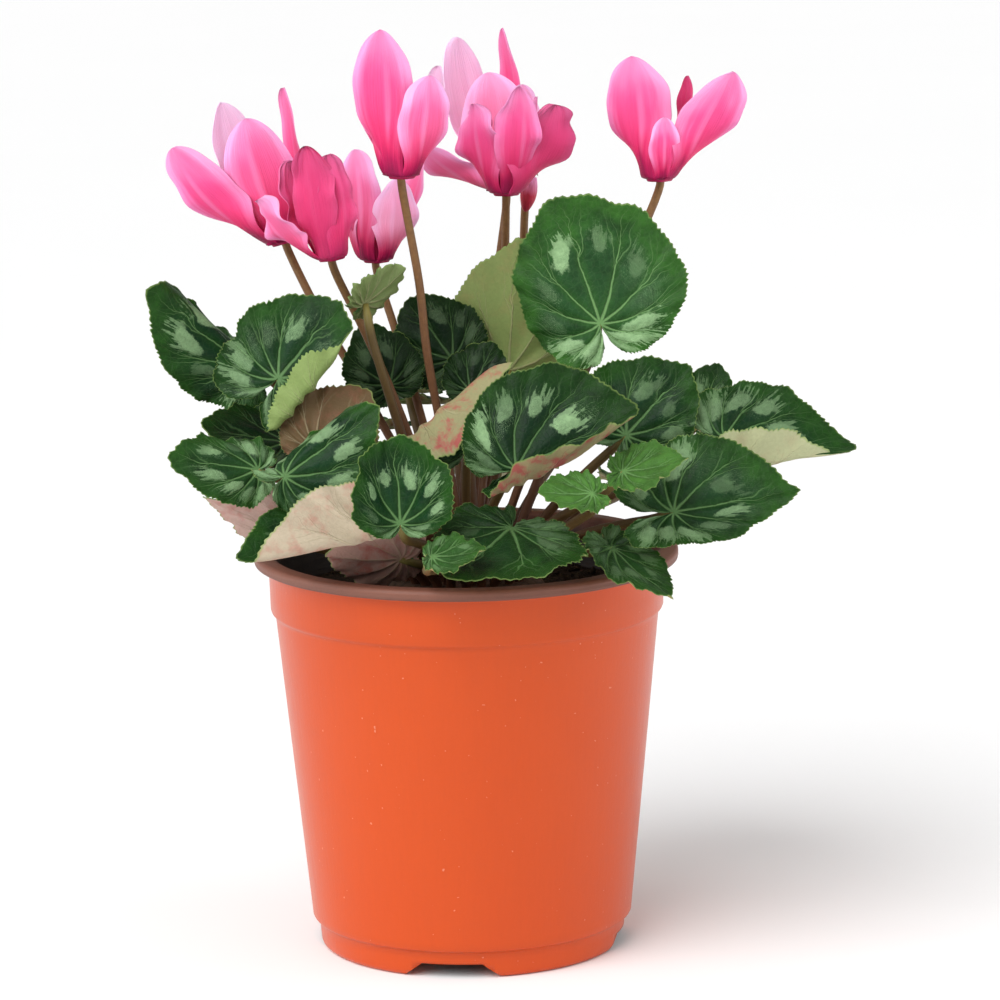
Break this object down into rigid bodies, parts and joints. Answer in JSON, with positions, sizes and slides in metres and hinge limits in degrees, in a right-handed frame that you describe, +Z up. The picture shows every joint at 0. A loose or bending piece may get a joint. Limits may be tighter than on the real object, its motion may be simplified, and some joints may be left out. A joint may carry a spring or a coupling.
{
  "type": "potted cyclamen",
  "caption": "Flowering cyclamen in a thin round plastic nursery pot: heart-shaped leaves on long stalks over the rim, and nodding blooms with turned-back petals above them.",
  "frame": {"origin": "middle of the pot's foot, on the surface that it stands on", "axes": "+Z up; +X to the right and -Y towards the viewer in the picture's view"},
  "size_m": [0.1976, 0.1659, 0.2629],
  "materials": {
    "pot": "satin",
    "compost": "matte",
    "tuber": "matte",
    "leaf": "satin",
    "stalk": "satin",
    "petal": "matte",
    "bud": "matte"
  },
  "bodies": {
    "root": {"pot": "pot", "compost": "compost", "tuber": "tuber", "leaf_back_left": "leaf", "leaf_centre": "leaf", "leaf_crescent": "leaf", "leaf_crest_back": "leaf", "leaf_crest_right": "leaf", "leaf_curled": "leaf", "leaf_flap": "leaf", "leaf_front_left": "leaf", "leaf_inner_dark": "leaf", "leaf_inner_left": "leaf", "leaf_left_fold": "leaf", "leaf_left_front": "leaf", "leaf_left_high": "leaf", "leaf_left_low": "leaf", "leaf_left_shade": "leaf", "leaf_left_under": "leaf", "leaf_lime": "leaf", "leaf_lime_small": "leaf", "leaf_pink_left": "leaf", "leaf_pink_low": "leaf", "leaf_rear_high": "leaf", "leaf_rear_left": "leaf", "leaf_rear_left_low": "leaf", "leaf_rear_mid": "leaf", "leaf_rear_mid_left": "leaf", "leaf_rear_mid_low": "leaf", "leaf_rear_mid_right": "leaf", "leaf_rear_right": "leaf", "leaf_rear_right_low": "leaf", "leaf_right_far": "leaf", "leaf_right_low": "leaf", "leaf_right_mid": "leaf", "leaf_right_shade": "leaf", "leaf_rim_front": "leaf", "leaf_rim_right": "leaf", "leaf_sprig": "leaf", "bloom_centre_back": "petal", "bloom_centre_front": "petal", "bloom_inner_left": "petal", "bloom_left": "petal", "bloom_left_front": "petal", "bloom_right": "petal", "bloom_tall": "petal", "stalk_of_bloom_centre_back": "stalk", "stalk_of_bloom_centre_front": "stalk", "stalk_of_bloom_inner_left": "stalk", "stalk_of_bloom_left": "stalk", "stalk_of_bloom_left_front": "stalk", "stalk_of_bloom_right": "stalk", "stalk_of_bloom_tall": "stalk", "stalk_of_bud_centre": "stalk", "bud_centre": "bud"}
  },
  "joints": []
}
